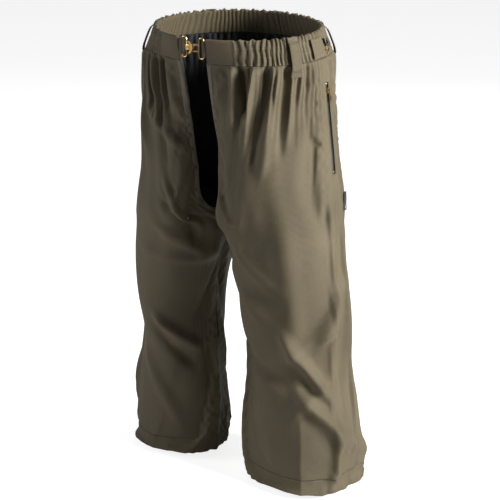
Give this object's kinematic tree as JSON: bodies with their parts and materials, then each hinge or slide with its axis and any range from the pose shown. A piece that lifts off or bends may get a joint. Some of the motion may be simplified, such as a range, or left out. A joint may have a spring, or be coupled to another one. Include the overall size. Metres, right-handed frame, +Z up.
{
  "type": "open-front over-chaps",
  "caption": "Open-front over-chaps with a full seat, an elastic waist closed by a hook and eye clasp, and zipped hip pockets.",
  "frame": {"origin": "centre of the waist opening, level with the waistband at the sides", "axes": "+Z up, +X towards the wearer's left, -Y to the wearer's front"},
  "size_m": [0.4688, 0.2844, 0.8035],
  "materials": {
    "shell_cloth": "ribbed coated nylon, matt with a faint sheen",
    "lining_cloth": "plain black lining",
    "binding_tape": "folded bias tape",
    "pad_layers": "layered long-fibre knit",
    "elastic": "woven elastic",
    "webbing": "woven webbing",
    "brass": "brushed, slightly worn",
    "zip_coil": "moulded coil and woven tape"
  },
  "bodies": {
    "garment": {"left_front_panel": "shell_cloth", "left_back_panel": "shell_cloth", "left_hem": "shell_cloth", "left_lining": "lining_cloth", "left_leg_pad": "pad_layers", "left_pocket_bag": "lining_cloth", "left_waistband": "shell_cloth", "left_front_binding": "binding_tape", "left_side_tab": "shell_cloth", "left_zip_tape": "zip_coil", "left_zip_teeth": "zip_coil", "left_zip_top_stop": "brass", "left_zip_bottom_stop": "brass", "left_ring_strap": "webbing", "left_front_belt_loop": "shell_cloth", "left_back_belt_loop": "shell_cloth", "right_front_panel": "shell_cloth", "right_back_panel": "shell_cloth", "right_hem": "shell_cloth", "right_lining": "lining_cloth", "right_leg_pad": "pad_layers", "right_pocket_bag": "lining_cloth", "right_waistband": "shell_cloth", "right_front_binding": "binding_tape", "right_side_tab": "shell_cloth", "right_zip_tape": "zip_coil", "right_zip_teeth": "zip_coil", "right_zip_top_stop": "brass", "right_zip_bottom_stop": "brass", "right_ring_strap": "webbing", "right_front_belt_loop": "shell_cloth", "right_back_belt_loop": "shell_cloth", "centre_back_belt_loop": "shell_cloth", "waist_elastic": "elastic", "crotch_gusset": "shell_cloth", "side_label": "webbing", "left_clasp_tab": "shell_cloth", "right_clasp_tab": "shell_cloth"},
    "clasp_eye": {"clasp_eye": "brass"},
    "clasp_hook": {"clasp_hook": "brass"},
    "left_v_ring": {"left_v_ring": "brass"},
    "left_zip_puller": {"left_zip_puller": "brass"},
    "left_zip_slider": {"left_zip_slider": "brass"},
    "right_v_ring": {"right_v_ring": "brass"},
    "right_zip_puller": {"right_zip_puller": "brass"},
    "right_zip_slider": {"right_zip_slider": "brass"}
  },
  "joints": [
    {"name": "clasp_hook_swing", "type": "hinge", "parent": "garment", "child": "clasp_hook", "pos_m": [-0.0229, -0.12323, -0.022], "axis": [0, 0, -1], "range_deg": [0, 80]},
    {"name": "clasp_eye_swing", "type": "hinge", "parent": "garment", "child": "clasp_eye", "pos_m": [0.0229, -0.12323, -0.022], "axis": [0, 0, -1], "range_deg": [0, 30]},
    {"name": "left_zip_slide", "type": "slide", "parent": "garment", "child": "left_zip_slider", "axis": [0.1408, -0.0272, -0.9897], "range_m": [0, 0.126]},
    {"name": "left_zip_puller_swing", "type": "hinge", "parent": "left_zip_slider", "child": "left_zip_puller", "pos_m": [0.18119, 0.01016, -0.09215], "axis": [0.058, -0.9977, 0.0357], "range_deg": [0, 150]},
    {"name": "right_zip_slide", "type": "slide", "parent": "garment", "child": "right_zip_slider", "axis": [-0.1408, -0.0252, -0.9897], "range_m": [0, 0.126]},
    {"name": "right_zip_puller_swing", "type": "hinge", "parent": "right_zip_slider", "child": "right_zip_puller", "pos_m": [-0.18119, 0.01019, -0.09215], "axis": [0.0583, 0.9977, -0.0337], "range_deg": [0, 150]},
    {"name": "left_v_ring_swing", "type": "hinge", "parent": "garment", "child": "left_v_ring", "pos_m": [0.16538, 0.02842, -0.02055], "axis": [0.2388, -0.9711, 0], "range_deg": [0, 90]},
    {"name": "right_v_ring_swing", "type": "hinge", "parent": "garment", "child": "right_v_ring", "pos_m": [-0.16538, 0.02842, -0.02055], "axis": [0.2388, 0.9711, 0], "range_deg": [0, 90]}
  ]
}
